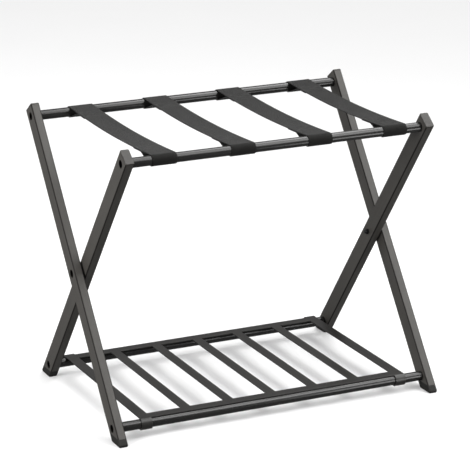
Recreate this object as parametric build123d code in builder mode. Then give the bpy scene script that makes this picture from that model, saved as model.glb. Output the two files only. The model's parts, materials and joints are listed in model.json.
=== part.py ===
from build123d import *
import os
from math import cos, radians, sin, tan

# Folding luggage rack, in millimetres. The origin is on the floor under the middle of the rack,
# +X runs along the crossbars, +Y points to the back and +Z is up.
# The outer frame leans back from its front feet, the inner frame leans forward from its rear feet,
# and the two cross at the pivot bolts. Left is -X.

# Driving dimensions
rack_length = 680
pivot_height = 276
leg_angle = 37
leg_top_reach = 350
upper_bar_reach = 330
lower_bar_reach = 312.5

leg_width = 34.5
leg_depth = 17.5
leg_wall = 1.2
leg_corner = 2.5
leg_gap = 3.2

bar_diameter = 19
bar_wall = 1.2
insert_length = 20

bolt_diameter = 6
bolt_hole_diameter = 6.2
access_hole_diameter = 16
head_diameter = 10.5
head_height = 3.3
head_rounding = 1
socket_size = 4
socket_depth = 2
crossbar_bolt_length = 20
pivot_hole_diameter = 6.1
bush_diameter = 10
spacer_diameter = 18
nut_across_flats = 10
nut_height = 5
dome_diameter = 9.4
dome_height = 3

cap_height = 3
cap_rounding = 1
cap_plug_depth = 10
foot_height = 15
foot_rounding = 4
foot_plug_depth = 4

strap_width = 50
strap_thickness = 1.8
strap_pitch = 159.5
strap_shift = 4
strap_sag = 6
strap_seam = 45

shelf_length = 566
strip_width = 22
strip_thickness = 2.5
cross_strip_width = 21
front_strip_edge = 191
slat_count = 5
slat_width = 20
clip_wrap = 200
hook_reach = 6.4
hook_bend = 4
hook_lip = 11

# Clearances
slip = 0.05
running_clearance = 0.08
plug_clearance = 0.4
strap_clearance = 0.3

# Derived places
lean = radians(leg_angle)
bar_radius = bar_diameter / 2
outer_face = rack_length / 2
outer_leg_inside = outer_face - leg_depth
inner_leg_outside = outer_leg_inside - leg_gap
inner_leg_inside = inner_leg_outside - leg_depth
upper_bar_y = upper_bar_reach * sin(lean)
upper_bar_z = pivot_height + upper_bar_reach * cos(lean)
lower_bar_y = lower_bar_reach * sin(lean)
lower_bar_z = pivot_height - lower_bar_reach * cos(lean)
below_floor = pivot_height / cos(lean) + leg_width
shelf_underside = lower_bar_z + bar_radius + running_clearance

sides = {"left": -1, "right": 1}


def leg_plane(centre_x, back):
    """A plane across the leg at the pivot. back is 1 if the leg leans back and -1 if forward."""
    direction = (0, back * sin(lean), cos(lean))
    return Plane(origin=(centre_x, 0, pivot_height), x_dir=(1, 0, 0), z_dir=direction)


def face_plane(face_x, normal, back):
    """A plane on a side face of a leg, with its local X along the leg and its origin at the pivot."""
    along = (0, back * sin(lean), cos(lean))
    return Plane(origin=(face_x, 0, pivot_height), x_dir=along, z_dir=(normal, 0, 0))


def leg_outline(gap=0):
    """The tube's outside, or with a gap the outside of a plug that fits in its bore."""
    inset = 2 * (leg_wall + gap) if gap else 0
    corner = leg_corner - leg_wall if gap else leg_corner
    RectangleRounded(leg_depth - inset, leg_width - inset, corner)


def make_leg(name, centre_x, side, back, has_pivot_head):
    """A square-ended tube with access holes in its outer wall and bolt holes in its inner wall."""
    across = leg_plane(centre_x, back)
    outside = face_plane(centre_x + side * leg_depth / 2, side, back)
    inside = face_plane(centre_x - side * leg_depth / 2, -side, back)
    bar_places = [(upper_bar_reach, 0), (-lower_bar_reach, 0)]
    access_places = bar_places + [(0, 0)] if has_pivot_head else bar_places
    with BuildPart() as leg:
        with BuildSketch(across.offset(-below_floor)):
            leg_outline()
            RectangleRounded(
                leg_depth - 2 * leg_wall,
                leg_width - 2 * leg_wall,
                leg_corner - leg_wall,
                mode=Mode.SUBTRACT,
            )
        extrude(amount=below_floor + leg_top_reach - cap_height)
        split(bisect_by=Plane.XY.offset(foot_height), keep=Keep.TOP)
        with BuildSketch(outside):
            with Locations(*access_places):
                Circle(access_hole_diameter / 2)
        extrude(amount=-2 * leg_wall, mode=Mode.SUBTRACT)
        with BuildSketch(inside):
            with Locations(*bar_places):
                Circle(bolt_hole_diameter / 2)
        extrude(amount=-2 * leg_wall, mode=Mode.SUBTRACT)
        with BuildSketch(inside):
            Circle((bolt_hole_diameter if has_pivot_head else pivot_hole_diameter) / 2)
        extrude(amount=-2 * leg_wall if has_pivot_head else -leg_depth, mode=Mode.SUBTRACT)
    leg.part.label = name
    export_step(leg.part, f"parts/{name}.step")


def make_top_cap(name, centre_x, back):
    """A plastic cap on the leg's square top end, with a plug in the tube."""
    tube_end = leg_plane(centre_x, back).offset(leg_top_reach - cap_height)
    with BuildPart() as cap:
        with BuildSketch(tube_end):
            leg_outline()
        extrude(amount=cap_height)
        fillet(cap.faces().sort_by(Axis.Z)[-1].edges(), cap_rounding)
        with BuildSketch(tube_end):
            leg_outline(plug_clearance)
        extrude(amount=-cap_plug_depth)
    cap.part.label = name
    export_step(cap.part, f"parts/{name}.step")


def make_foot(name, centre_x, back):
    """A plastic foot whose sole is flat on the floor, with a plug in the tube."""
    floor_y = -back * pivot_height * tan(lean)
    half_sole = leg_width / 2 / cos(lean)
    shift = back * foot_height * tan(lean)
    with BuildPart() as foot:
        with BuildSketch(Plane.YZ.offset(centre_x - leg_depth / 2)):
            with BuildLine():
                Polyline(
                    (floor_y + half_sole + shift, foot_height),
                    (floor_y + half_sole, 0),
                    (floor_y - half_sole, 0),
                    (floor_y - half_sole + shift, foot_height),
                    close=True,
                )
            outline = make_face()
            fillet(outline.vertices().group_by(Axis.Y)[0], foot_rounding)
        extrude(amount=leg_depth)
        side_edges = foot.faces().filter_by(Axis.X).edges()
        fillet(side_edges.group_by(Axis.Z)[:-1], leg_corner)
        with BuildSketch(Plane.XY.offset(foot_height)):
            with Locations((centre_x, floor_y + shift)):
                inset = 2 * (leg_wall + plug_clearance)
                Rectangle(leg_depth - inset, (leg_width - inset) / cos(lean))
        extrude(amount=foot_plug_depth, dir=(0, back * sin(lean), cos(lean)))
    foot.part.label = name
    export_step(foot.part, f"parts/{name}.step")


def make_crossbar(name, y, z, half_length):
    """A round tube that butts against the inner faces of its two legs."""
    with BuildPart() as bar:
        with BuildSketch(Plane.YZ.offset(-half_length)):
            with Locations((y, z)):
                Circle(bar_radius)
                Circle(bar_radius - bar_wall, mode=Mode.SUBTRACT)
        extrude(amount=2 * half_length)
    bar.part.label = name
    export_step(bar.part, f"parts/{name}.step")


def bar_ends(half_length, back):
    """A plane at each end of a frame's two crossbars, facing the middle of the rack."""
    places = [(back * upper_bar_y, upper_bar_z), (-back * lower_bar_y, lower_bar_z)]
    return [
        Plane(origin=(side * half_length, y, z), x_dir=(0, 1, 0), z_dir=(-side, 0, 0))
        for side in sides.values()
        for y, z in places
    ]


def make_inserts(name, half_length, back):
    """The threaded plugs pressed into the ends of a frame's crossbars."""
    with BuildPart() as inserts:
        for bar_end in bar_ends(half_length, back):
            with BuildSketch(bar_end):
                Circle(bar_radius - bar_wall - slip)
                Circle(bolt_diameter / 2 + slip, mode=Mode.SUBTRACT)
            extrude(amount=insert_length)
    inserts.part.label = name
    export_step(inserts.part, f"parts/{name}.step")


def make_bolts(name, seats, shank_length):
    """Button-head bolts. Each seat is a plane under a head, facing along the shank."""
    with BuildPart() as bolts:
        for seat in seats:
            with BuildSketch(seat):
                Circle(head_diameter / 2)
            extrude(amount=-head_height)
            top_edges = bolts.faces().sort_by_distance(seat.offset(-head_height).origin)[0].edges()
            fillet(top_edges, head_rounding)
            with BuildSketch(seat):
                Circle(bolt_diameter / 2)
            extrude(amount=shank_length)
            with BuildSketch(seat.offset(-head_height)):
                RegularPolygon(socket_size / 2, 6, major_radius=False)
            extrude(amount=socket_depth, mode=Mode.SUBTRACT)
    bolts.part.label = name
    export_step(bolts.part, f"parts/{name}.step")


def pivot_planes(x):
    """A plane at each pivot, at distance x from the middle, facing the middle of the rack."""
    return [
        Plane(origin=(side * x, 0, pivot_height), x_dir=(0, 1, 0), z_dir=(-side, 0, 0))
        for side in sides.values()
    ]


def make_pivot_rings(name, start_x, length, outside_diameter, bore_diameter):
    """A ring round each pivot bolt."""
    with BuildPart() as rings:
        for start in pivot_planes(start_x):
            with BuildSketch(start):
                Circle(outside_diameter / 2)
                Circle(bore_diameter / 2, mode=Mode.SUBTRACT)
            extrude(amount=length)
    rings.part.label = name
    export_step(rings.part, f"parts/{name}.step")


def make_pivot_nuts(name):
    """Domed nuts on the pivot bolts, just clear of the inner legs that turn beside them."""
    with BuildPart() as nuts:
        for seat in pivot_planes(inner_leg_inside - running_clearance):
            with BuildSketch(seat.offset(nut_height)):
                Circle(dome_diameter / 2)
            extrude(amount=dome_height)
            dome_top = seat.offset(nut_height + dome_height).origin
            fillet(nuts.faces().sort_by_distance(dome_top)[0].edges(), dome_height * 0.8)
            with BuildSketch(seat):
                RegularPolygon(nut_across_flats / 2, 6, major_radius=False)
            extrude(amount=nut_height)
            with BuildSketch(seat):
                Circle(bolt_diameter / 2 + slip)
            extrude(amount=nut_height, mode=Mode.SUBTRACT)
    nuts.part.label = name
    export_step(nuts.part, f"parts/{name}.step")


def make_strap(name, centre_x):
    """Webbing with a sewn loop round each upper bar, and a shallow sag between the seams."""
    inner_radius = bar_radius + strap_clearance
    seam_y = upper_bar_y - strap_seam
    seam_drop = strap_sag * (1 - (seam_y / upper_bar_y) ** 2)
    seam_z = upper_bar_z + inner_radius - seam_drop
    middle_z = upper_bar_z + inner_radius - strap_sag
    edge = Plane.YZ.offset(centre_x - strap_width / 2)
    with BuildPart() as strap:
        with BuildSketch(edge):
            with Locations((upper_bar_y, upper_bar_z)):
                Circle(inner_radius + strap_thickness)
            with Locations((seam_y, seam_z)):
                Circle(strap_thickness)
            make_hull()
        extrude(amount=strap_width)
        with BuildSketch(edge):
            with Locations((upper_bar_y, upper_bar_z)):
                Circle(inner_radius)
            with Locations((seam_y + 2 * strap_thickness, seam_z)):
                Circle(slip)
            make_hull()
        extrude(amount=strap_width, mode=Mode.SUBTRACT)
        mirror(about=Plane.XZ)
        with BuildSketch(edge):
            with BuildLine():
                top = seam_z + strap_thickness
                underside = ThreePointArc((-seam_y, seam_z), (0, middle_z), (seam_y, seam_z))
                Line(underside @ 1, (seam_y, top))
                ThreePointArc((seam_y, top), (0, middle_z + strap_thickness), (-seam_y, top))
                Line((-seam_y, top), underside @ 0)
            make_face()
        extrude(amount=strap_width)
    strap.part.label = name
    export_step(strap.part, f"parts/{name}.step")


def shelf_side_start(side):
    """The lower X of a side strip."""
    return side * (shelf_length - strip_width) / 2 - strip_width / 2


def make_shelf_clip(name, side):
    """The front end of a side strip, bent round the lower front bar that it turns on."""
    radius = bar_radius + running_clearance + strip_thickness / 2
    with BuildPart() as clip:
        with BuildSketch(Plane.YZ.offset(shelf_side_start(side))):
            with BuildLine() as path:
                CenterArc((-lower_bar_y, lower_bar_z), radius, 90, clip_wrap)
            trace(path.line.edges(), strip_thickness)
            with Locations((-lower_bar_y, lower_bar_z + radius)):
                Rectangle(
                    strip_thickness,
                    strip_thickness,
                    align=(Align.MIN, Align.CENTER),
                    mode=Mode.SUBTRACT,
                )
        extrude(amount=strip_width)
    clip.part.label = name
    export_step(clip.part, f"parts/{name}.step")


def make_shelf_hook(name, side):
    """The rear end of a side strip, bent down behind the lower rear bar."""
    bend_radius = hook_bend + strip_thickness / 2
    start_y = lower_bar_y + hook_reach
    bend_z = shelf_underside - hook_bend
    with BuildPart() as hook:
        with BuildSketch(Plane.YZ.offset(shelf_side_start(side))):
            with BuildLine() as path:
                bend = CenterArc((start_y, bend_z), bend_radius, 0, 90)
                Line(bend @ 0, (start_y + bend_radius, bend_z - hook_lip))
            trace(path.line.edges(), strip_thickness)
            with Locations((start_y, bend_z + bend_radius)):
                Rectangle(
                    strip_thickness,
                    strip_thickness,
                    align=(Align.MAX, Align.CENTER),
                    mode=Mode.SUBTRACT,
                )
        extrude(amount=strip_width)
    hook.part.label = name
    export_step(hook.part, f"parts/{name}.step")


def make_flat_strip(name, centre_x, centre_y, length_x, length_y):
    """A flat strip of the shelf."""
    with BuildPart() as strip:
        with BuildSketch(Plane.XY.offset(shelf_underside)):
            with Locations((centre_x, centre_y)):
                Rectangle(length_x, length_y)
        extrude(amount=strip_thickness)
    strip.part.label = name
    export_step(strip.part, f"parts/{name}.step")


def make_frame(name, half_length, centre_x, back, bar_names, has_pivot_head):
    """Two legs with their caps and feet, and the two crossbars bolted between them."""
    for word, side in sides.items():
        make_leg(f"{name}_leg_{word}", side * centre_x, side, back, has_pivot_head)
        make_top_cap(f"{name}_top_cap_{word}", side * centre_x, back)
        make_foot(f"{name}_foot_{word}", side * centre_x, back)
    upper_name, lower_name = bar_names
    make_crossbar(upper_name, back * upper_bar_y, upper_bar_z, half_length)
    make_crossbar(lower_name, -back * lower_bar_y, lower_bar_z, half_length)
    make_inserts(f"{name}_bar_inserts", half_length, back)
    make_bolts(f"{name}_bar_bolts", bar_ends(half_length + leg_wall, back), crossbar_bolt_length)


def make_pivots():
    """The bolts that the two frames turn on, with their bushes, spacers and nuts."""
    bolt_length = outer_leg_inside + leg_wall - inner_leg_inside + nut_height
    make_bolts("pivot_bolts", pivot_planes(outer_leg_inside + leg_wall), bolt_length)
    make_pivot_rings(
        "pivot_spacers",
        outer_leg_inside - slip,
        leg_gap - 2 * slip,
        spacer_diameter,
        pivot_hole_diameter,
    )
    make_pivot_rings(
        "pivot_bushes",
        inner_leg_outside - leg_wall - slip,
        leg_depth - 2 * leg_wall - 2 * slip,
        bush_diameter,
        pivot_hole_diameter,
    )
    make_pivot_nuts("pivot_nuts")


def make_straps():
    """Four straps, evenly spaced along the upper bars."""
    names = ["far_left", "middle_left", "middle_right", "far_right"]
    for index, word in enumerate(names):
        offset = index - (len(names) - 1) / 2
        make_strap(f"strap_{word}", strap_shift + offset * strap_pitch)


def make_shelf():
    """A slatted shelf that hangs on the lower bars."""
    inside_length = shelf_length - 2 * strip_width
    strip_y = front_strip_edge - cross_strip_width / 2
    side_length = 2 * lower_bar_y + hook_reach
    for word, side in sides.items():
        x = side * (shelf_length - strip_width) / 2
        make_flat_strip(f"shelf_side_{word}", x, hook_reach / 2, strip_width, side_length)
        make_shelf_clip(f"shelf_clip_{word}", side)
        make_shelf_hook(f"shelf_hook_{word}", side)
    for word, back in {"front": -1, "rear": 1}.items():
        make_flat_strip(f"shelf_{word}_strip", 0, back * strip_y, inside_length, cross_strip_width)
    slat_length = 2 * (front_strip_edge - cross_strip_width)
    gap = (inside_length - slat_count * slat_width) / (slat_count + 1)
    for index in range(slat_count):
        x = (index - (slat_count - 1) / 2) * (slat_width + gap)
        make_flat_strip(f"shelf_slat_{index + 1}", x, 0, slat_width, slat_length)


os.makedirs("parts", exist_ok=True)
outer_centre = outer_face - leg_depth / 2
inner_centre = inner_leg_outside - leg_depth / 2
outer_bars = ("upper_rear_bar", "lower_front_bar")
inner_bars = ("upper_front_bar", "lower_rear_bar")
make_frame("outer", outer_leg_inside, outer_centre, 1, outer_bars, True)
make_frame("inner", inner_leg_inside, inner_centre, -1, inner_bars, False)
make_pivots()
make_straps()
make_shelf()
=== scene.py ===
import json
import math

import bmesh
import bpy
import numpy as np
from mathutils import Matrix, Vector


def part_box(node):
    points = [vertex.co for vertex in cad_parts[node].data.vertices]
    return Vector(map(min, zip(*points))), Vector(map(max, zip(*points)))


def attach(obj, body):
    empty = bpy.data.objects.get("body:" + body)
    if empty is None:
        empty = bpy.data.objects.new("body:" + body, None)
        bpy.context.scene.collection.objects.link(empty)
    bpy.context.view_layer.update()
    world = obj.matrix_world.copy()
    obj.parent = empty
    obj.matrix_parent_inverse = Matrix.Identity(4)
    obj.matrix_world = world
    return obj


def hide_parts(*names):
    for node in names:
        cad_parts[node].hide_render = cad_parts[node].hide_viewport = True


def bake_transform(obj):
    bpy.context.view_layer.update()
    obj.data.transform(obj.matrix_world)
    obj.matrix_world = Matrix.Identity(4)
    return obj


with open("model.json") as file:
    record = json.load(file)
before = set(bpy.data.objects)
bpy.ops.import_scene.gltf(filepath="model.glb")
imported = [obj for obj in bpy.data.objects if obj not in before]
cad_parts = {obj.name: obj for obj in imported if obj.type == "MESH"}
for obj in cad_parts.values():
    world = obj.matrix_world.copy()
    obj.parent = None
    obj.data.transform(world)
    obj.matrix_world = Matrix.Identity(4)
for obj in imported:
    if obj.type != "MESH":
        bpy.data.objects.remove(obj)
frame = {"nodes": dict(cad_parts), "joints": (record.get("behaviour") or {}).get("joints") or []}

# The looks of a folding luggage rack, in metres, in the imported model's own frame: +X runs along
# the crossbars, -Y is the front and +Z is up. The webbing straps and the shelf are modelled here
# in detail and stand for their CAD nodes. Every other CAD node keeps its shape.

MM = 0.001

# The camera stands to the left of the front and looks slightly down, through a long lens.
CAMERA_TARGET = Vector((0.045, 0.083, 0.279))
CAMERA_DISTANCE = 4.905
CAMERA_AZIMUTH = math.radians(-25.57)
CAMERA_ELEVATION = math.radians(17.14)
CAMERA_LENS = 188.0

# Points of a path that are closer than this are one point.
SAME_POINT = 0.01 * MM

# Legs: half of the tube's outside, and how far in from its sides the painted corner shade fades in
LEG_HALF_THICKNESS = 8.75 * MM
LEG_HALF_WIDTH = 17.25 * MM
CORNER_SHADE_FADE_START = 2.4 * MM
CORNER_SHADE_FADE_END = 1.5 * MM

# Webbing
WEB_THICKNESS = 1.6 * MM
WEB_CLEARANCE = 0.15 * MM
WEB_STEP = 3.0 * MM
WEB_WRAP_STEP = 1.2 * MM
WEB_COLUMNS = 12
WEB_EDGE_FACETS = 4
SPAN_SAG = 6.31 * MM
SEAM_DISTANCE = 45.0 * MM
SEAM_BEND = 12.0 * MM
SEAM_BEND_FACETS = 6
LAYER_GAP = 0.06 * MM
FOLDED_LAYER_GAP = 0.24 * MM
TAB_LENGTH = 34.0 * MM
CUPPING = 0.35 * MM
FOLD_BULGE = math.radians(1.8)

# Stitching, with each share a part of the thread's radius
THREAD_RADIUS = 0.36 * MM
THREAD_TWIST = 0.55 * MM
THREAD_SIDES = 6
THREAD_RINGS = 5
THREAD_END_SHARE = 0.55
STITCH_RISE_SHARE = 0.5
STITCH_DEPTH_SHARE = 0.35
STITCH_LENGTH = 2.7 * MM
STITCH_PITCH = 3.4 * MM
STITCH_INSET = 4.5 * MM
STITCH_MARGIN = 3.0 * MM

# Shelf. An upright edge has at least UPRIGHT_SHARE of its length along Z.
WRAP_ANGLE = math.radians(200)
CLIP_STEP = 1.6 * MM
HOOK_BEND = 4.0 * MM
HOOK_BEND_STEP = 0.9 * MM
HOOK_LIP_STEP = 3.0 * MM
STRIP_EDGE_ROUNDING = 0.45 * MM
WELD_FILLET = 1.6 * MM
WELD_BLEND = 2.5 * MM
WELD_CORNER = math.radians(60)
UPRIGHT_SHARE = 0.9

# Stage, in metres
FLOOR_REACH = 30.0
DOME_RADIUS = 28.0

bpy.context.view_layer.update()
joints = {joint["name"]: joint for joint in frame["joints"]}
pivot = Vector(joints["frame_fold"]["pos_m"])
fold_angle = math.radians(joints["frame_fold"]["range_deg"][1])


def centre(node):
    """The middle of a CAD node's box."""
    low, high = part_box(node)
    return (low + high) / 2


def size(node):
    """The lengths of a CAD node's box."""
    low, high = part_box(node)
    return high - low


upper_bar = centre("upper_rear_bar")
lower_bar = centre("lower_rear_bar")
bar_radius = size("upper_rear_bar").z / 2
web_width = size("strap_far_left").x
lean = math.atan2(upper_bar.y, upper_bar.z - pivot.z)


# Materials


class Finish:
    """A Principled material, with short calls that add nodes and join them."""

    def __init__(self, name, **sockets):
        self.material = bpy.data.materials.new(name)
        self.material.use_nodes = True
        self.tree = self.material.node_tree
        self.shader = self.tree.nodes["Principled BSDF"]
        for socket, value in sockets.items():
            self.feed(self.shader, socket.replace("_", " "), value)

    def feed(self, node, socket, value):
        """Sets a socket to a plain value, or links another node's output to it."""
        if isinstance(value, bpy.types.NodeSocket):
            self.tree.links.new(value, node.inputs[socket])
        else:
            node.inputs[socket].default_value = value

    def add(self, kind, sockets, **settings):
        """Adds a node of that kind and fills its sockets, which are given by name or number."""
        node = self.tree.nodes.new(kind)
        for setting, value in settings.items():
            setattr(node, setting, value)
        for socket, value in sockets.items():
            self.feed(node, socket, value)
        return node

    def place(self, scale=(1, 1, 1), turn=0.0):
        """Object coordinates, turned about X and scaled."""
        found = self.add("ShaderNodeTexCoord", {}).outputs["Object"]
        turned = self.add("ShaderNodeMapping", {"Vector": found, "Rotation": (turn, 0, 0)})
        mapped = self.add("ShaderNodeMapping", {"Vector": turned.outputs[0], "Scale": scale})
        return mapped.outputs[0]

    def noise(self, place, per_metre, detail=2.0, roughness=0.5):
        """Noise from 0 to 1, with that many features to the metre."""
        sockets = {"Vector": place, "Scale": per_metre, "Detail": detail, "Roughness": roughness}
        return self.add("ShaderNodeTexNoise", sockets).outputs["Fac"]

    def math(self, operation, *values):
        """One Math node's result."""
        node = self.add("ShaderNodeMath", dict(enumerate(values)), operation=operation)
        return node.outputs[0]

    def spread(self, value, low, high, start=0.3, end=0.7):
        """value from start to end becomes low to high, and stays within them."""
        sockets = {"Value": value, "From Min": start, "From Max": end, "To Min": low, "To Max": high}
        return self.add("ShaderNodeMapRange", sockets).outputs[0]

    def tint(self, colour, factor):
        """A colour made lighter or darker by factor."""
        node = self.add("ShaderNodeVectorMath", {0: colour, 3: factor}, operation="SCALE")
        return node.outputs[0]

    def blend(self, factor, first, second):
        """first where factor is 0 and second where it is 1."""
        node = self.add("ShaderNodeMix", {0: factor, 6: first, 7: second}, data_type="RGBA")
        return node.outputs[2]

    def bump(self, height, depth, strength=1.0, before=None):
        """Bump of that depth in metres, on top of the bump before it."""
        sockets = {"Height": height, "Distance": depth, "Strength": strength}
        if before is not None:
            sockets["Normal"] = before
        return self.add("ShaderNodeBump", sockets).outputs[0]

    def finish(self, colour, roughness, normal=None):
        """Joins the patterned inputs to the shader, and returns the material."""
        self.feed(self.shader, "Base Color", colour)
        self.feed(self.shader, "Roughness", roughness)
        if normal is not None:
            self.feed(self.shader, "Normal", normal)
        return self.material


def painted_corner_shade(coat, turn, middle_x):
    """Painted shade mask: 1 along a leg's rounded corners and 0 on its flats, for legs at middle_x and
    -middle_x.
    """

    def near_side(distance, half):
        return coat.spread(distance, 0, 1, half - CORNER_SHADE_FADE_START, half - CORNER_SHADE_FADE_END)

    at_pivot = coat.add("ShaderNodeTexCoord", {}).outputs["Object"]
    at_pivot = coat.add("ShaderNodeVectorMath", {0: at_pivot, 1: pivot}, operation="SUBTRACT").outputs[0]
    turned = coat.add("ShaderNodeMapping", {"Vector": at_pivot, "Rotation": (turn, 0, 0)}).outputs[0]
    axes = coat.add("ShaderNodeSeparateXYZ", {"Vector": turned}).outputs
    across_x = coat.math("ABSOLUTE", coat.math("SUBTRACT", coat.math("ABSOLUTE", axes["X"]), middle_x))
    across_y = coat.math("ABSOLUTE", axes["Y"])
    near_x = near_side(across_x, LEG_HALF_THICKNESS)
    near_y = near_side(across_y, LEG_HALF_WIDTH)
    return coat.math("MULTIPLY", near_x, near_y)


def leg_enamel(name, turn, middle_x):
    """Warm charcoal powder coat: fine grain, faint streaks along the tube, and painted shade along the
    rounded corners.
    """
    coat = Finish(name)
    grain = coat.noise(coat.place(), 1100, 3.0, 0.6)
    peel = coat.noise(coat.place(), 260, 1.0)
    streak = coat.noise(coat.place((1, 1, 0.03), turn), 420, 3.0, 0.6)
    cloud = coat.noise(coat.place(), 14, 3.0)
    speck = coat.noise(coat.place(), 2300, 1.0)
    tone = coat.math("MULTIPLY", coat.spread(streak, 0.86, 1.14), coat.spread(cloud, 0.92, 1.08))
    tone = coat.math("MULTIPLY", tone, coat.spread(grain, 0.9, 1.1))
    # The corners are darkened and lose gloss: painted shade, standing in for the dark surroundings that
    # rounded corners reflect.
    corner = painted_corner_shade(coat, turn, middle_x)
    tone = coat.math("MULTIPLY", tone, coat.spread(corner, 1.0, 0.25, 0, 1))
    charcoal = coat.tint((0.046, 0.0428, 0.0382), tone)
    pale = (0.14, 0.135, 0.13, 1)
    base = coat.blend(coat.spread(speck, 0, 0.35, 0.66, 0.74), charcoal, pale)
    coat.feed(coat.shader, "Specular IOR Level", coat.spread(corner, 0.45, 0.08, 0, 1))
    normal = coat.bump(peel, 0.06 * MM, 0.4)
    normal = coat.bump(grain, 0.07 * MM, 0.7, normal)
    return coat.finish(base, coat.spread(grain, 0.40, 0.58), normal)


def bar_enamel(name, colour, roughness, gloss):
    """Near-black satin enamel on round tube or flat strip, with a soft grain."""
    coat = Finish(name, Specular_IOR_Level=gloss)
    grain = coat.noise(coat.place(), 1300, 2.0, 0.55)
    peel = coat.noise(coat.place(), 300, 1.0)
    draw = coat.noise(coat.place((0.02, 1, 1)), 700, 2.0)
    cloud = coat.noise(coat.place(), 18, 3.0)
    tone = coat.math("MULTIPLY", coat.spread(draw, 0.9, 1.1), coat.spread(cloud, 0.9, 1.12))
    tone = coat.math("MULTIPLY", tone, coat.spread(grain, 0.88, 1.12))
    normal = coat.bump(peel, 0.04 * MM, 0.3)
    normal = coat.bump(grain, 0.03 * MM, 0.35, normal)
    rough = coat.spread(grain, roughness - 0.05, roughness + 0.09)
    return coat.finish(coat.tint(colour, tone), rough, normal)


def moulded_plastic(name, colour, gloss):
    """Dark moulded plastic with a fine pebbled texture."""
    plastic = Finish(name, Specular_IOR_Level=gloss)
    sockets = {"Vector": plastic.place(), "Scale": 1500.0}
    pebble = plastic.add("ShaderNodeTexVoronoi", sockets, feature="SMOOTH_F1").outputs["Distance"]
    cloud = plastic.noise(plastic.place(), 60, 3.0)
    scuff = plastic.noise(plastic.place((1, 1, 0.2)), 500, 4.0, 0.7)
    tone = plastic.math("MULTIPLY", plastic.spread(cloud, 0.88, 1.12), plastic.spread(scuff, 0.92, 1.1))
    normal = plastic.bump(pebble, 0.06 * MM, 0.5)
    return plastic.finish(plastic.tint(colour, tone), plastic.spread(scuff, 0.46, 0.62), normal)


def steel(name, colour, roughness, metallic):
    """Plated or blackened steel with fine turning marks and small stains."""
    metal = Finish(name, Metallic=metallic)
    marks = metal.noise(metal.place((0.15, 1, 1)), 3000, 2.0)
    stain = metal.noise(metal.place(), 350, 3.0)
    tone = metal.math("MULTIPLY", metal.spread(stain, 0.8, 1.15), metal.spread(marks, 0.92, 1.06))
    normal = metal.bump(marks, 0.01 * MM, 0.4)
    rough = metal.spread(stain, roughness - 0.06, roughness + 0.12)
    return metal.finish(metal.tint(colour, tone), rough, normal)


def nylon(name, colour):
    """Smooth moulded nylon, faintly mottled."""
    plastic = Finish(name, Specular_IOR_Level=0.5)
    cloud = plastic.noise(plastic.place(), 250, 3.0)
    fine = plastic.noise(plastic.place(), 1800, 1.0)
    normal = plastic.bump(fine, 0.02 * MM, 0.3)
    base = plastic.tint(colour, plastic.spread(cloud, 0.88, 1.12))
    return plastic.finish(base, plastic.spread(cloud, 0.32, 0.44), normal)


def webbing():
    """Black woven webbing: rounded warp ribs along the strap, crossed by weft picks, with painted shade in
    the weave's valleys.
    """
    rib_pitch = 1.9 * MM
    pick_pitch = 1.55 * MM
    cloth = Finish("webbing", Specular_IOR_Level=0.14, Sheen_Weight=0.08, Sheen_Roughness=0.45)
    across = cloth.add("ShaderNodeAttribute", {}, attribute_name="across").outputs["Fac"]
    along = cloth.add("ShaderNodeAttribute", {}, attribute_name="along").outputs["Fac"]
    rib = cloth.math("DIVIDE", across, rib_pitch)
    odd = cloth.math("MODULO", cloth.math("FLOOR", cloth.math("ADD", rib, 100)), 2)
    pick = cloth.math("ADD", cloth.math("DIVIDE", along, pick_pitch), cloth.math("MULTIPLY", odd, 0.5))
    rounded = cloth.math("ABSOLUTE", cloth.math("SINE", cloth.math("MULTIPLY", rib, math.pi)))
    rounded = cloth.math("POWER", rounded, 0.5)
    wave = cloth.math("SINE", cloth.math("MULTIPLY", pick, 2 * math.pi))
    over = cloth.math("MULTIPLY_ADD", wave, 0.28, 0.72)
    weave = cloth.math("MULTIPLY", rounded, over)
    place = cloth.add("ShaderNodeCombineXYZ", {"X": across, "Y": along}).outputs[0]
    fibre_place = cloth.add("ShaderNodeMapping", {"Vector": place, "Scale": (1, 0.12, 1)}).outputs[0]
    fibre = cloth.noise(fibre_place, 5200, 2.0, 0.6)
    cloud = cloth.noise(place, 35, 3.0)
    # The weave's height darkens the colour where it is low: painted shade in the weave's valleys.
    tone = cloth.math("MULTIPLY", cloth.spread(weave, 0.45, 1.25, 0.1, 1.0), cloth.spread(cloud, 0.85, 1.15))
    tone = cloth.math("MULTIPLY", tone, cloth.spread(fibre, 0.78, 1.22))
    normal = cloth.bump(fibre, 0.05 * MM, 0.4)
    normal = cloth.bump(weave, 0.35 * MM, 0.8, normal)
    base = cloth.tint((0.0095, 0.0091, 0.0084), tone)
    return cloth.finish(base, cloth.spread(fibre, 0.68, 0.88), normal)


def thread():
    """Black bonded thread, twisted, with painted shade in the twist's grooves."""
    strand = Finish("thread", Specular_IOR_Level=0.4, Sheen_Weight=0.2)
    along = strand.add("ShaderNodeAttribute", {}, attribute_name="along").outputs["Fac"]
    twist = strand.math("SINE", strand.math("MULTIPLY", along, 2 * math.pi / THREAD_TWIST))
    fuzz = strand.noise(strand.place(), 6000, 2.0)
    # The twist's height darkens the colour in its grooves: painted shade.
    tone = strand.math("MULTIPLY", strand.spread(twist, 0.7, 1.2, -1, 1), strand.spread(fuzz, 0.85, 1.15))
    normal = strand.bump(twist, 0.06 * MM, 0.6)
    base = strand.tint((0.024, 0.0235, 0.0225), tone)
    return strand.finish(base, strand.spread(fuzz, 0.5, 0.65), normal)


def dress(node, material):
    """Gives a CAD node its material."""
    shape = frame["nodes"][node]
    shape.data.materials.clear()
    shape.data.materials.append(material)


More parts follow.
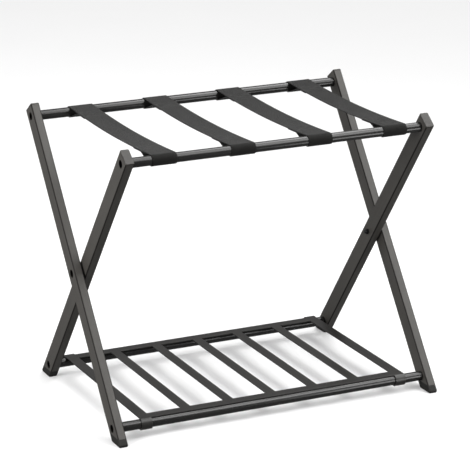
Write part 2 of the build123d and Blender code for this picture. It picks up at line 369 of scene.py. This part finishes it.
def dress_frame():
    """Materials of all the CAD nodes that stay."""
    leg_x = centre("outer_leg_right").x, centre("inner_leg_right").x
    outer = leg_enamel("leg_enamel_outer", lean, leg_x[0])
    inner = leg_enamel("leg_enamel_inner", -lean, leg_x[1])
    bar = bar_enamel("bar_enamel", (0.012, 0.0116, 0.011), 0.2, 0.38)
    cap = moulded_plastic("cap_plastic", (0.036, 0.0338, 0.0305), 0.4)
    foot = moulded_plastic("foot_plastic", (0.0115, 0.011, 0.01), 0.2)
    black = steel("black_steel", (0.035, 0.035, 0.036), 0.38, 0.85)
    zinc = steel("zinc_steel", (0.55, 0.56, 0.58), 0.30, 1.0)
    bush = nylon("nylon", (0.022, 0.022, 0.022))
    for word in ("left", "right"):
        dress(f"outer_leg_{word}", outer)
        dress(f"inner_leg_{word}", inner)
        for prefix in ("outer", "inner"):
            dress(f"{prefix}_top_cap_{word}", cap)
            dress(f"{prefix}_foot_{word}", foot)
    for node in ("upper_rear_bar", "upper_front_bar", "lower_rear_bar", "lower_front_bar"):
        dress(node, bar)
    for node in ("outer_bar_bolts", "inner_bar_bolts", "pivot_bolts", "pivot_nuts"):
        dress(node, black)
    for node in ("outer_bar_inserts", "inner_bar_inserts"):
        dress(node, zinc)
    for node in ("pivot_spacers", "pivot_bushes"):
        dress(node, bush)


# Shared shape tools


def arc(middle, radius, start, end, step):
    """Points (y, z) along an arc, with angles in radians from +Y towards +Z."""
    count = max(2, math.ceil(abs(end - start) * radius / step))
    angles = [start + (end - start) * i / count for i in range(count + 1)]
    return [Vector((middle.x + radius * math.cos(a), middle.y + radius * math.sin(a))) for a in angles]


def straight(start, end, step):
    """Points (y, z) along a line."""
    count = max(1, math.ceil((end - start).length / step))
    return [start.lerp(end, i / count) for i in range(count + 1)]


def join(*runs):
    """Runs of points end to end, with each shared end kept once."""
    points = list(runs[0])
    for run in runs[1:]:
        points += [p for p in run if (p - points[-1]).length > SAME_POINT]
    return points


def normals(points):
    """The unit normal to the left of the way along the points."""
    found = []
    for i in range(len(points)):
        way = points[min(i + 1, len(points) - 1)] - points[max(i - 1, 0)]
        found.append(Vector((-way.y, way.x)).normalized())
    return found


def lengths(points):
    """The length along the points, from the first to each."""
    found = [0.0]
    for before, after in zip(points, points[1:]):
        found.append(found[-1] + (after - before).length)
    return found


def make_piece(name, vertices, faces, material, smooth=True):
    """A mesh object with that material."""
    mesh = bpy.data.meshes.new(name)
    mesh.from_pydata([tuple(v) for v in vertices], [], faces)
    mesh.validate()
    if smooth:
        mesh.polygons.foreach_set("use_smooth", [True] * len(mesh.polygons))
    mesh.materials.append(material)
    piece = bpy.data.objects.new(name, mesh)
    bpy.context.scene.collection.objects.link(piece)
    return piece


def store(piece, name, values):
    """Keeps one number for each vertex as a mesh attribute."""
    attribute = piece.data.attributes.new(name, "FLOAT", "POINT")
    attribute.data.foreach_set("value", np.array(values, np.float32))


# Webbing straps
#
# Half a strap, in the plane of (y, z) behind the pivot: from the middle of the span over the bar,
# round it, and back under the span to the end of the sewn tab. The other half is its mirror.

bar_middle = Vector((upper_bar.y, upper_bar.z))
web_radius = bar_radius + WEB_CLEARANCE + WEB_THICKNESS / 2
seam_y = upper_bar.y - SEAM_DISTANCE


def half_strap():
    """The centre-line's points, and the part that each belongs to: span, wrap, return or tab."""
    leave = 2 * SPAN_SAG / upper_bar.y
    half_span = upper_bar.y - web_radius * math.sin(leave)
    end_z = upper_bar.z + web_radius * math.cos(leave)

    def on_span(y):
        return end_z - SPAN_SAG * (1 - (y / half_span) ** 2)

    count = math.ceil(half_span / WEB_STEP)
    span = [Vector((half_span * i / count, on_span(half_span * i / count))) for i in range(count + 1)]
    layer = WEB_THICKNESS + LAYER_GAP
    corner = Vector((seam_y, on_span(seam_y) - layer))
    to_corner = corner - bar_middle
    reach = math.acos(web_radius / to_corner.length)
    lower = math.atan2(to_corner.y, to_corner.x) + reach - 2 * math.pi
    wrap = arc(bar_middle, web_radius, math.pi / 2 + leave, lower, WEB_WRAP_STEP)
    tab_end = Vector((seam_y - TAB_LENGTH, on_span(seam_y - TAB_LENGTH) - layer))
    into = (wrap[-1] - corner).normalized()
    out = (tab_end - corner).normalized()
    turn = math.pi - into.angle(out)
    setback = SEAM_BEND * math.tan(turn / 2)
    first, last = corner + into * setback, corner + out * setback
    bend = [
        first * (1 - t) ** 2 + corner * 2 * t * (1 - t) + last * t**2
        for t in (i / SEAM_BEND_FACETS for i in range(SEAM_BEND_FACETS + 1))
    ]
    back = straight(wrap[-1], first, WEB_STEP)
    tab = [Vector((p.x, on_span(p.x) - layer)) for p in straight(last, tab_end, WEB_STEP)]
    points, parts = list(span), ["span"] * len(span)
    for part, run in (("wrap", wrap), ("return", back), ("return", bend), ("tab", tab)):
        kept = [p for p in run if (p - points[-1]).length > SAME_POINT]
        points += kept
        parts += [part] * len(kept)
    return points, parts


def polar(point):
    """(distance from the pivot, angle from straight up towards the back) of a point (y, z)."""
    y, z = point.x, point.y - pivot.z
    return math.hypot(y, z), math.atan2(y, z)


def folded_angles(points, parts):
    """The angle about the pivot that each point of half a strap has when the rack is folded flat.

    The folding only turns a point about the pivot, so its distance from the pivot stays. The span
    hugs the bar and then hangs as a slack loop between the two bars, and the sewn tab lies against it.
    """
    middle = fold_angle / 2
    bar_distance, bar_angle = polar(bar_middle)
    hug = math.asin(web_radius / bar_distance)
    leaves = math.sqrt(bar_distance**2 - web_radius**2)
    lowest = polar(points[0])[0]

    def hanging(distance):
        share = math.sqrt(min(1.0, max(0.0, (distance - lowest) / (leaves - lowest))))
        loop = math.sin(math.pi * share) * (1 - share**4)
        return middle + (bar_angle - hug - middle) * math.sin(math.pi / 2 * share) + FOLD_BULGE * loop

    layer = WEB_THICKNESS + FOLDED_LAYER_GAP
    returns = [i for i, part in enumerate(parts) if part == "return"]
    start, end = returns[0], returns[-1] + 1
    start_angle = polar(points[start - 1])[1]
    end_distance = polar(points[end])[0]
    end_angle = hanging(end_distance) + layer / end_distance
    angles = []
    for i, (point, part) in enumerate(zip(points, parts)):
        distance, angle = polar(point)
        if part == "span" and distance > leaves:
            cosine = (distance**2 + bar_distance**2 - web_radius**2) / (2 * distance * bar_distance)
            angle = bar_angle - math.acos(min(1.0, cosine))
        elif part == "span":
            angle = hanging(distance)
        elif part == "return":
            share = (i - start + 1) / (end - start + 1)
            angle = start_angle + (end_angle - start_angle) * share * (2 - share)
        elif part == "tab":
            angle = hanging(distance) + layer / distance
        angles.append(angle)
    return angles


class Strap:
    """The shape of a strap: where a point along, across and out of the webbing is, at rest and folded."""

    def __init__(self):
        half, parts = half_strap()
        folded = folded_angles(half, parts)
        self.points = half
        self.parts = parts
        self.normals = normals(half)
        self.normals[0] = Vector((0, 1))
        self.along = lengths(half)
        distances = [polar(p)[0] for p in half]
        turned = [
            Vector((d * math.sin(a), pivot.z + d * math.cos(a))) for d, a in zip(distances, folded)
        ]
        self.folded = turned
        self.folded_normals = normals(turned)
        mirror = Vector((math.cos(fold_angle / 2), -math.sin(fold_angle / 2)))
        self.folded_normals[0] = Vector((-mirror.y, mirror.x)).normalized()

    def length(self):
        """The whole strap's, laid flat."""
        return 2 * self.along[-1]

    def find(self, along):
        """(point, normal, folded point, folded normal) at a length from the middle of the span."""
        i = int(np.searchsorted(self.along, along)) - 1
        i = min(max(i, 0), len(self.points) - 2)
        t = (along - self.along[i]) / (self.along[i + 1] - self.along[i])
        lists = (self.points, self.normals, self.folded, self.folded_normals)
        point, normal, folded, folded_normal = (each[i].lerp(each[i + 1], t) for each in lists)
        return point, normal.normalized(), folded, folded_normal.normalized()

    def place(self, along, across, out):
        """((x offset, y, z), weight) for a length along the strap, negative in front of the middle."""
        point, normal, folded, folded_normal = self.find(abs(along))
        cup = CUPPING * (2 * across / web_width) ** 2 * max(0.0, 1 - abs(along) / upper_bar.y)
        rest = point + normal * (out - cup)
        goal = folded + folded_normal * (out - cup)
        weight = (polar(goal)[1] - polar(rest)[1]) / fold_angle
        if along < 0:
            return Vector((across, -rest.x, rest.y)), 1 - weight
        return Vector((across, rest.x, rest.y)), weight


def section(width):
    """(across, out) round the webbing's rounded cross-section."""
    round_edge = WEB_THICKNESS / 2
    flat = width / 2 - round_edge
    top = [(-flat + 2 * flat * i / WEB_COLUMNS, round_edge) for i in range(WEB_COLUMNS + 1)]
    right = [
        (flat + round_edge * math.sin(a), round_edge * math.cos(a))
        for a in (math.pi * i / WEB_EDGE_FACETS for i in range(1, WEB_EDGE_FACETS))
    ]
    bottom = [(-x, -z) for x, z in top]
    left = [(-x, -z) for x, z in right]
    return top + right + bottom + left


def make_webbing(name, strap, middle_x, width, material):
    """One strap as a closed band, from the end of the rear tab to the end of the front one."""
    ring = section(width)
    stations = [-a for a in reversed(strap.along[1:])] + list(strap.along)
    vertices, weights, across, along = [], [], [], []
    for station in stations:
        for x, out in ring:
            place, weight = strap.place(station, x, out)
            vertices.append(place + Vector((middle_x, 0, 0)))
            weights.append(weight)
            across.append(x)
            along.append(station)
    size_of_ring = len(ring)
    faces = []
    for row in range(len(stations) - 1):
        for i in range(size_of_ring):
            a, b = row * size_of_ring + i, row * size_of_ring + (i + 1) % size_of_ring
            faces.append((a, b, b + size_of_ring, a + size_of_ring))
    # A ring runs over the top, down the right edge, back underneath and up the left edge.
    last_below = size_of_ring - WEB_EDGE_FACETS
    for row, turn in ((0, -1), (len(stations) - 1, 1)):
        first = row * size_of_ring
        for i in range(WEB_COLUMNS):
            below = last_below - i
            quad = (i, i + 1, below - 1, below)
            faces.append(tuple(first + v for v in quad[::turn]))
        right = tuple(range(WEB_COLUMNS, WEB_COLUMNS + WEB_EDGE_FACETS + 1))
        left = tuple(range(last_below, size_of_ring)) + (0,)
        faces.append(tuple(first + v for v in right[::turn]))
        faces.append(tuple(first + v for v in left[::turn]))
    piece = make_piece(name, vertices, faces, material)
    store(piece, "across", across)
    store(piece, "along", along)
    return piece, weights


def stitch_runs(strap):
    """Runs of stitching from (along, across) to (along, across).

    On each seam they are a box with crossed diagonals, once on the span and once on the tab below.
    """
    half_box = web_width / 2 - STITCH_INSET
    span_end = strap.parts.index("wrap")
    span_y = [p.x for p in strap.points[:span_end]]
    seam = seam_y - TAB_LENGTH + STITCH_MARGIN, seam_y - STITCH_MARGIN
    on_span = [float(np.interp(y, span_y, strap.along[:span_end])) for y in seam]
    tab_start = strap.along[strap.parts.index("tab")]
    on_tab = [strap.along[-1] - STITCH_MARGIN, tab_start + STITCH_MARGIN]
    runs = []
    for near, far in (on_span, on_tab):
        for side in (1, -1):
            box = (near, -half_box), (far, -half_box), (far, half_box), (near, half_box)
            corners = [(side * along, across) for along, across in box]
            runs += list(zip(corners, corners[1:] + corners[:1]))
            runs += [(corners[0], corners[2]), (corners[1], corners[3])]
    return runs


def make_stitching(name, strap, middle_x, material):
    """Each stitch is a short thread that rises out of the webbing and dips back into it."""
    vertices, weights, faces, twist = [], [], [], []
    for start, end in stitch_runs(strap):
        start, end = Vector(start), Vector(end)
        run = end - start
        count = max(1, round(run.length / STITCH_PITCH))
        way = run.normalized()
        beside = Vector((-way.y, way.x))
        for number in range(count):
            middle = start + run * (number + 0.5) / count
            first = len(vertices)
            for ring in range(THREAD_RINGS):
                share = ring / (THREAD_RINGS - 1)
                lift = math.sin(math.pi * share)
                spot = middle + way * (share - 0.5) * STITCH_LENGTH
                girth = THREAD_RADIUS * (THREAD_END_SHARE + (1 - THREAD_END_SHARE) * lift)
                height = THREAD_RADIUS * (STITCH_RISE_SHARE * lift - STITCH_DEPTH_SHARE)
                for side in range(THREAD_SIDES):
                    angle = 2 * math.pi * side / THREAD_SIDES
                    at = spot + beside * girth * math.cos(angle)
                    out = WEB_THICKNESS / 2 + height + girth * math.sin(angle)
                    place, weight = strap.place(at.x, at.y, out)
                    vertices.append(place + Vector((middle_x, 0, 0)))
                    weights.append(weight)
                    twist.append(share * STITCH_LENGTH + angle / (2 * math.pi) * THREAD_TWIST)
            for ring in range(THREAD_RINGS - 1):
                for side in range(THREAD_SIDES):
                    row = first + ring * THREAD_SIDES
                    a, b = row + side, row + (side + 1) % THREAD_SIDES
                    faces.append((a, b, b + THREAD_SIDES, a + THREAD_SIDES))
            last = first + (THREAD_RINGS - 1) * THREAD_SIDES
            faces.append(tuple(first + i for i in reversed(range(THREAD_SIDES))))
            faces.append(tuple(last + i for i in range(THREAD_SIDES)))
    piece = make_piece(name, vertices, faces, material)
    bm = bmesh.new()
    bm.from_mesh(piece.data)
    bmesh.ops.recalc_face_normals(bm, faces=bm.faces)
    bm.to_mesh(piece.data)
    bm.free()
    store(piece, "along", twist)
    return piece, weights


def follow_fold(piece):
    """Bakes the piece's placement into its mesh."""
    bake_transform(piece)


def make_straps():
    """Four straps with their stitching."""
    strap = Strap()
    cloth, strand = webbing(), thread()
    for word in ("far_left", "middle_left", "middle_right", "far_right"):
        node = f"strap_{word}"
        middle_x, width = centre(node).x, size(node).x
        band, weights = make_webbing(f"webbing_{word}", strap, middle_x, width, cloth)
        follow_fold(band)
        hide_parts(node)
        seams, weights = make_stitching(f"stitching_{word}", strap, middle_x, strand)
        follow_fold(seams)


# Shelf
#
# Flat steel strips welded into a grid. The two side strips run on into a clip round the lower front
# bar and a hook behind the lower rear one.


def side_strip_path():
    """The side strip's middle surface in (y, z) from the clip's end to the hook's.

    With it comes the number of the point at the front strip's front edge. The two points after the
    bar's top are the front strip's rear edge and the rear strip's front edge.
    """
    low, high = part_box("shelf_side_left")
    hook_low, hook_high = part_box("shelf_hook_left")
    front_low, front_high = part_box("shelf_front_strip")
    thickness = high.z - low.z
    middle_z = (low.z + high.z) / 2
    bar = Vector((-lower_bar.y, lower_bar.z))
    radius = middle_z - bar.y
    top = math.pi / 2
    at_edge = top + math.asin((bar.x - front_low.y) / radius)
    clip = arc(bar, radius, top + WRAP_ANGLE, at_edge, CLIP_STEP)
    over = arc(bar, radius, at_edge, top, CLIP_STEP)
    bend_radius = HOOK_BEND + thickness / 2
    bend_middle = Vector((hook_high.y - thickness / 2 - bend_radius, middle_z - bend_radius))
    bend = arc(bend_middle, bend_radius, top, 0, HOOK_BEND_STEP)
    flat = [Vector((y, middle_z)) for y in (front_high.y, -front_high.y, -front_low.y, bend_middle.x)]
    lip = straight(bend[-1], Vector((bend[-1].x, hook_low.z)), HOOK_LIP_STEP)
    return join(clip, over, flat, bend, lip), len(clip) - 1


class Grid:
    """A sheet of quads with a thickness. Quads that meet share their points."""

    def __init__(self, thickness):
        self.thickness = thickness
        self.keys = {}
        self.points = []
        self.normals = []
        self.quads = []

    def point(self, x, place, normal):
        """The number of the point at x and at place (y, z), which is added if it is new."""
        key = round(x, 6), round(place.x, 6), round(place.y, 6)
        if key not in self.keys:
            self.keys[key] = len(self.points)
            self.points.append(Vector((x, place.x, place.y)))
            self.normals.append(Vector((0, normal.x, normal.y)))
        return self.keys[key]

    def solid(self, name, material):
        """The sheet thickened both ways, with its sides closed."""
        half = self.thickness / 2
        count = len(self.points)
        vertices = [p + n * half for p, n in zip(self.points, self.normals)]
        vertices += [p - n * half for p, n in zip(self.points, self.normals)]
        faces = list(self.quads) + [tuple(i + count for i in reversed(q)) for q in self.quads]
        edges = dict.fromkeys(edge for quad in self.quads for edge in zip(quad, quad[1:] + quad[:1]))
        for a, b in edges:
            if (b, a) not in edges:
                faces.append((b, a, a + count, b + count))
        return make_piece(name, vertices, faces, material, smooth=False)


def add_side_strips(grid, path, path_normals):
    """The two side strips, each two quads wide, with their clips and hooks."""
    low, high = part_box("shelf_side_left")
    for side in (-1, 1):
        columns = sorted((side * -low.x, side * -high.x))
        columns.insert(1, sum(columns) / 2)
        for row in range(len(path) - 1):
            for a, b in zip(columns, columns[1:]):
                corners = [(a, row), (b, row), (b, row + 1), (a, row + 1)]
                grid.quads.append(tuple(grid.point(x, path[r], path_normals[r]) for x, r in corners))


def add_cross_strips(grid, path, path_normals, corner_row):
    """The front and rear strips between the side ones, and the slats between those two."""
    low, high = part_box("shelf_side_left")
    inner = -high.x
    flat_z = (low.z + high.z) / 2
    slats = []
    for node in sorted(node for node in frame["nodes"] if node.startswith("shelf_slat_")):
        slat_low, slat_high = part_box(node)
        slats.append((slat_low.x, slat_high.x))
    columns = [-inner, WELD_BLEND - inner]
    for pair in slats:
        columns += pair
    columns += [inner - WELD_BLEND, inner]
    above = [row for row, point in enumerate(path) if point.y >= lower_bar.z]
    top_row = min(above, key=lambda row: abs(path[row].x + lower_bar.y))
    front_rows = range(corner_row, top_row + 2)
    rear_rows = range(top_row + 2, top_row + 4)

    def cross_point(x, row):
        """A cross strip's point: the side strip's own at the weld, and flat between the welds."""
        if x in (-inner, inner):
            return grid.point(x, path[row], path_normals[row])
        return grid.point(x, Vector((path[row].x, flat_z)), Vector((0, 1)))

    def cross_quad(a, b, row, after):
        corners = (a, row), (b, row), (b, after), (a, after)
        grid.quads.append(tuple(cross_point(x, r) for x, r in corners))

    for strip_rows in (front_rows, rear_rows):
        for row, after in zip(strip_rows, strip_rows[1:]):
            for a, b in zip(columns, columns[1:]):
                cross_quad(a, b, row, after)
    for a, b in slats:
        cross_quad(a, b, front_rows[-1], rear_rows[0])


def make_shelf():
    """The welded grid, one coated piece."""
    path, corner_row = side_strip_path()
    path_normals = normals(path)
    grid = Grid(size("shelf_side_left").z)
    add_side_strips(grid, path, path_normals)
    add_cross_strips(grid, path, path_normals, corner_row)
    shelf = grid.solid("shelf_grid", bar_enamel("shelf_enamel", (0.0165, 0.0157, 0.0145), 0.34, 0.36))
    fillet_welds(shelf)
    rounding = shelf.modifiers.new("edge_rounding", "BEVEL")
    rounding.width = STRIP_EDGE_ROUNDING
    rounding.segments = 2
    rounding.limit_method = "ANGLE"
    rounding.angle_limit = math.radians(35)
    rounding.harden_normals = True
    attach(shelf, "shelf")
    nodes = [node for node in frame["nodes"] if node.startswith("shelf_")]
    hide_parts(*nodes)


def fillet_welds(shelf):
    """Rounds the upright inside corners, where the strips are welded to each other."""
    bm = bmesh.new()
    bm.from_mesh(shelf.data)
    bmesh.ops.recalc_face_normals(bm, faces=bm.faces)
    inside = []
    for edge in bm.edges:
        way = (edge.verts[1].co - edge.verts[0].co).normalized()
        inward = len(edge.link_faces) == 2 and not edge.is_convex
        if inward and abs(way.z) > UPRIGHT_SHARE and edge.calc_face_angle() > WELD_CORNER:
            inside.append(edge)
    bmesh.ops.bevel(bm, geom=inside, offset=WELD_FILLET, segments=4, profile=0.5, affect="EDGES")
    for face in bm.faces:
        face.smooth = True
    bm.to_mesh(shelf.data)
    bm.free()


# Stage


def make_floor():
    """A plain pale floor."""
    paint = Finish("floor_paint", Specular_IOR_Level=0.1, Emission_Strength=0.26)
    paint.feed(paint.shader, "Emission Color", (1, 1, 1, 1))
    cloud = paint.noise(paint.place(), 3, 2.0)
    base = paint.tint((0.62, 0.62, 0.62), paint.spread(cloud, 0.995, 1.005))
    corners = [(x * FLOOR_REACH, y * FLOOR_REACH, 0) for x, y in ((-1, -1), (1, -1), (1, 1), (-1, 1))]
    floor = make_piece("floor", corners, [(0, 1, 2, 3)], paint.finish(base, 0.6), smooth=False)
    set_aside(floor)


def make_backdrop():
    """A white dome a long way off, which only the camera sees."""
    paper = Finish("backdrop_paper", Emission_Strength=0.87, Specular_IOR_Level=0.0)
    paper.feed(paper.shader, "Emission Color", (1, 1, 1, 1))
    paper.feed(paper.shader, "Base Color", (0, 0, 0, 1))
    bm = bmesh.new()
    bmesh.ops.create_uvsphere(bm, u_segments=48, v_segments=24, radius=DOME_RADIUS)
    mesh = bpy.data.meshes.new("backdrop")
    bm.to_mesh(mesh)
    bm.free()
    mesh.materials.append(paper.material)
    backdrop = bpy.data.objects.new("backdrop", mesh)
    bpy.context.scene.collection.objects.link(backdrop)
    backdrop.visible_shadow = False
    set_aside(backdrop)


def set_aside(stage_piece):
    """Only the camera sees this, so that it neither lights the rack nor shows in its gloss."""
    stage_piece.visible_diffuse = False
    stage_piece.visible_glossy = False


def area_light(name, place, aim, side, power):
    """A soft square light."""
    light = bpy.data.lights.new(name, "AREA")
    light.shape = "SQUARE"
    light.size = side
    light.energy = power
    lamp = bpy.data.objects.new(name, light)
    lamp.location = place
    lamp.rotation_euler = (Vector(aim) - Vector(place)).to_track_quat("-Z", "Y").to_euler()
    bpy.context.scene.collection.objects.link(lamp)


def sky_light(name, place, spread, power):
    """Even light from far away in the direction of place, as from a broad white ceiling."""
    light = bpy.data.lights.new(name, "SUN")
    light.angle = spread
    light.energy = power
    lamp = bpy.data.objects.new(name, light)
    lamp.location = place
    lamp.rotation_euler = (-Vector(place)).to_track_quat("-Z", "Y").to_euler()
    bpy.context.scene.collection.objects.link(lamp)


def make_studio():
    """A dim even room, a broad ceiling light, and a softbox above, in front, at each side and behind."""
    world = bpy.data.worlds.new("studio")
    bpy.context.scene.world = world
    world.use_nodes = True
    background = world.node_tree.nodes["Background"]
    background.inputs["Color"].default_value = (1, 1, 1, 1)
    background.inputs["Strength"].default_value = 0.3
    sky_light("ceiling", (0.3, -0.15, 1.0), math.radians(50), 2.2)
    area_light("streak", (1.1, 0.5, 2.3), (0, 0, 0.4), 1.1, 22)
    area_light("front", (1.2, -1.7, 2.2), (0, 0, 0.25), 1.2, 25)
    area_light("left", (-2.1, -0.7, 1.0), (-0.3, 0, 0.3), 0.9, 50)
    area_light("right", (0.8, -1.1, 0.12), (0.3, 0, 0.25), 0.5, 5)
    area_light("back", (-1.0, 2.2, 1.5), (0, 0, 0.3), 1.0, 14)
    bpy.context.scene.view_settings.view_transform = "Standard"


def make_camera():
    """The camera, aimed by its angles round the target."""
    back = Vector((
        math.sin(CAMERA_AZIMUTH) * math.cos(CAMERA_ELEVATION),
        -math.cos(CAMERA_AZIMUTH) * math.cos(CAMERA_ELEVATION),
        math.sin(CAMERA_ELEVATION),
    ))
    data = bpy.data.cameras.new("camera")
    data.lens = CAMERA_LENS
    data.clip_end = 200
    camera = bpy.data.objects.new("camera", data)
    camera.location = CAMERA_TARGET + back * CAMERA_DISTANCE
    camera.rotation_euler = (math.pi / 2 - CAMERA_ELEVATION, 0, CAMERA_AZIMUTH)
    bpy.context.scene.collection.objects.link(camera)
    bpy.context.scene.camera = camera


make_camera()
make_floor()
make_backdrop()
make_studio()
dress_frame()
make_straps()
make_shelf()
